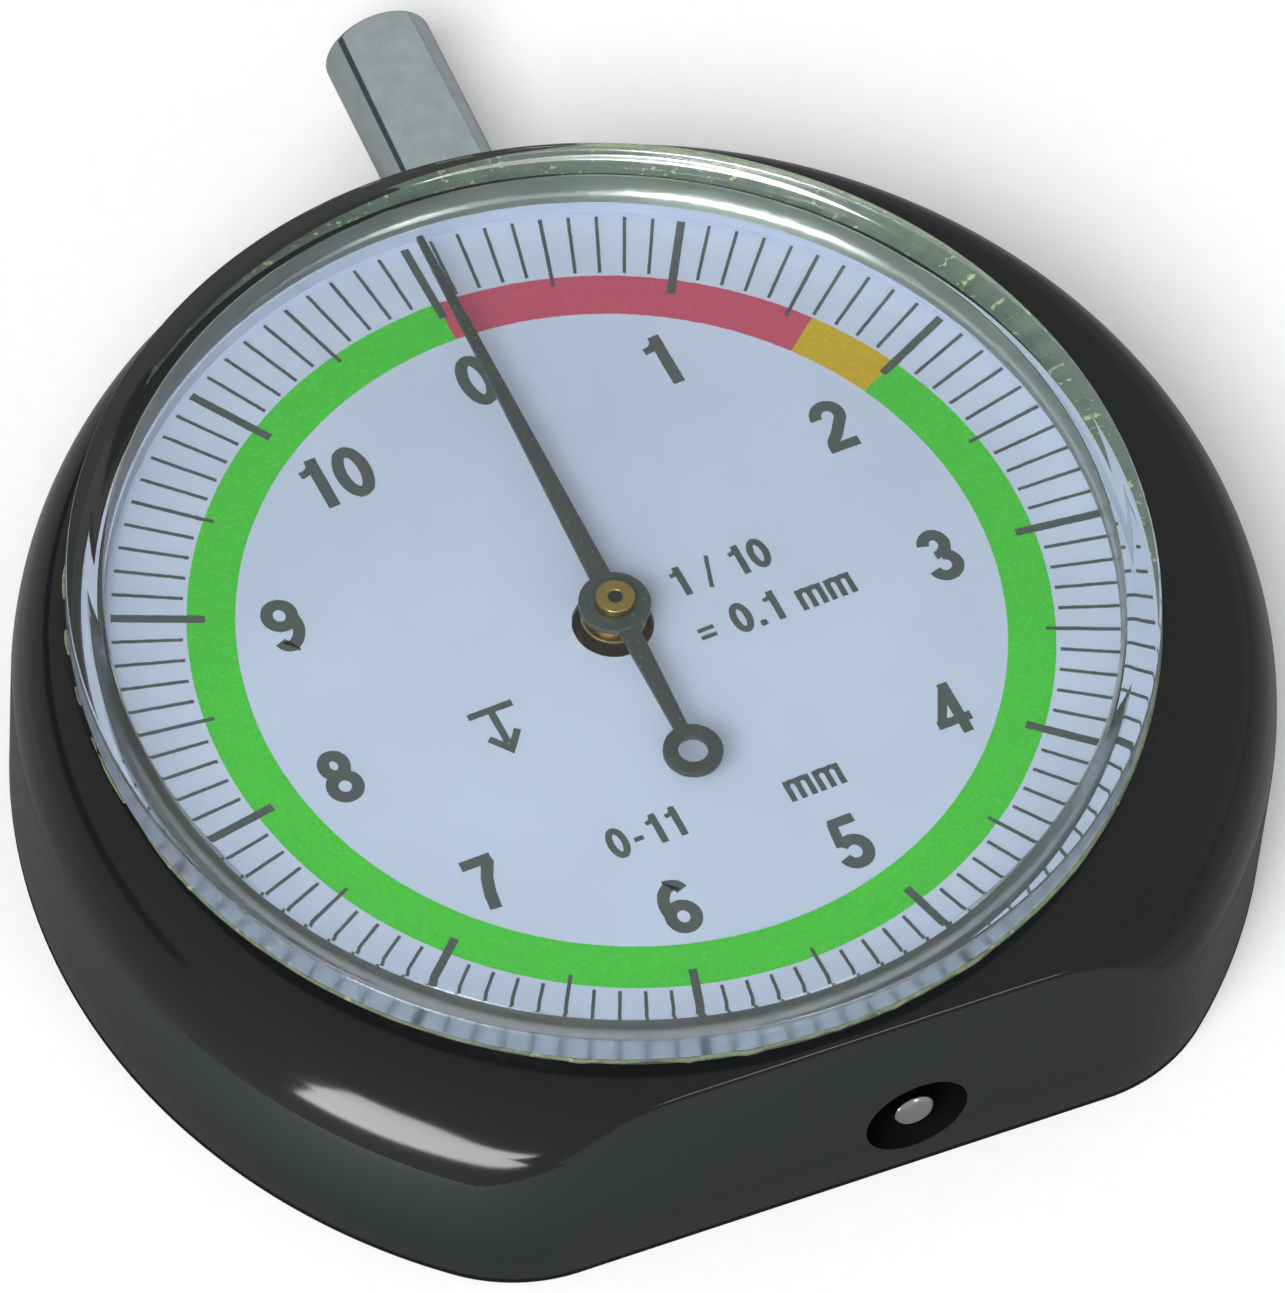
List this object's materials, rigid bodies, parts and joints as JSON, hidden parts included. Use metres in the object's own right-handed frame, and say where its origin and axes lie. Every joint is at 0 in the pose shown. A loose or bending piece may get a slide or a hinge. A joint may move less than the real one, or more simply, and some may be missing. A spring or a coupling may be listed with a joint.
{
  "type": "tire tread gauge",
  "caption": "Pocket dial depth gauge for tyre treads: round case with a flat base, sprung plunger with a measuring pin and push button, rack and pinion pointer.",
  "frame": {"origin": "point of the back face on the pointer's axis", "axes": "+Z is the dial's normal, +Y runs along the plunger towards the push button, -Y is the flat base"},
  "size_m": [0.061, 0.0684, 0.015],
  "materials": {
    "case_black": "gloss",
    "cover_black": "satin",
    "screw_steel": "satin",
    "crystal_clear": "gloss",
    "cement": "satin",
    "dial_white": "satin",
    "brass": "satin",
    "brass_plate": "brushed",
    "bearing_bronze": "satin",
    "bush_steel": "satin",
    "bush_dark": "satin",
    "spring_steel": "satin",
    "hairspring_bronze": "satin",
    "button_chrome": "polished",
    "rod_steel": "ground",
    "pin_steel": "polished",
    "pointer_dark": "satin"
  },
  "bodies": {
    "case": {"housing": "case_black", "back_cover": "cover_black", "back_cover_screws": "screw_steel", "crystal": "crystal_clear", "crystal_cement": "cement", "dial_plate": "dial_white", "dial_feet": "brass", "movement_plate": "brass_plate", "movement_screws": "screw_steel", "rear_bridge": "brass_plate", "rear_bearings": "bearing_bronze", "bridge_pillars": "brass", "bridge_screws": "screw_steel", "pointer_bush": "brass", "upper_bush": "bush_steel", "lower_bush": "bush_dark", "guide_rail": "brass", "rail_screws": "screw_steel", "return_spring": "spring_steel", "hairspring": "hairspring_bronze", "hairspring_stud": "brass"},
    "plunger": {"button": "button_chrome", "plunger_rod": "rod_steel", "rack": "brass", "rack_screws": "screw_steel", "measuring_pin": "pin_steel", "spring_collar": "brass", "collar_pin": "screw_steel", "guide_pin": "rod_steel"},
    "pointer_shaft": {"pointer_arbor": "rod_steel", "pinion": "brass", "thrust_collar": "brass", "pointer": "pointer_dark", "pointer_collet": "brass"},
    "takeup": {"takeup_wheel": "brass", "takeup_arbor": "rod_steel", "hairspring_collet": "brass"}
  },
  "joints": [
    {"name": "plunger_slide", "type": "slide", "parent": "case", "child": "plunger", "axis": [0, -1, 0], "range_m": [0, 0.0109], "stiffness_N_per_m": 60, "springref_m": -0.012, "deforming": ["return_spring"]},
    {"name": "pointer_spin", "type": "hinge", "parent": "case", "child": "pointer_shaft", "pos_m": [0, 0, 0.006], "axis": [0, 0, -1], "range_deg": [-1, 358]},
    {"name": "takeup_spin", "type": "hinge", "parent": "case", "child": "takeup", "pos_m": [-0.00925, 0, 0.006], "axis": [0, 0, -1], "range_deg": [-84, 0.5], "deforming": ["hairspring"]}
  ],
  "couplings": [
    {"joint": "pointer_spin", "follows": "plunger_slide", "rad_per_m": 571.43},
    {"joint": "takeup_spin", "follows": "plunger_slide", "rad_per_m": -133.33}
  ]
}
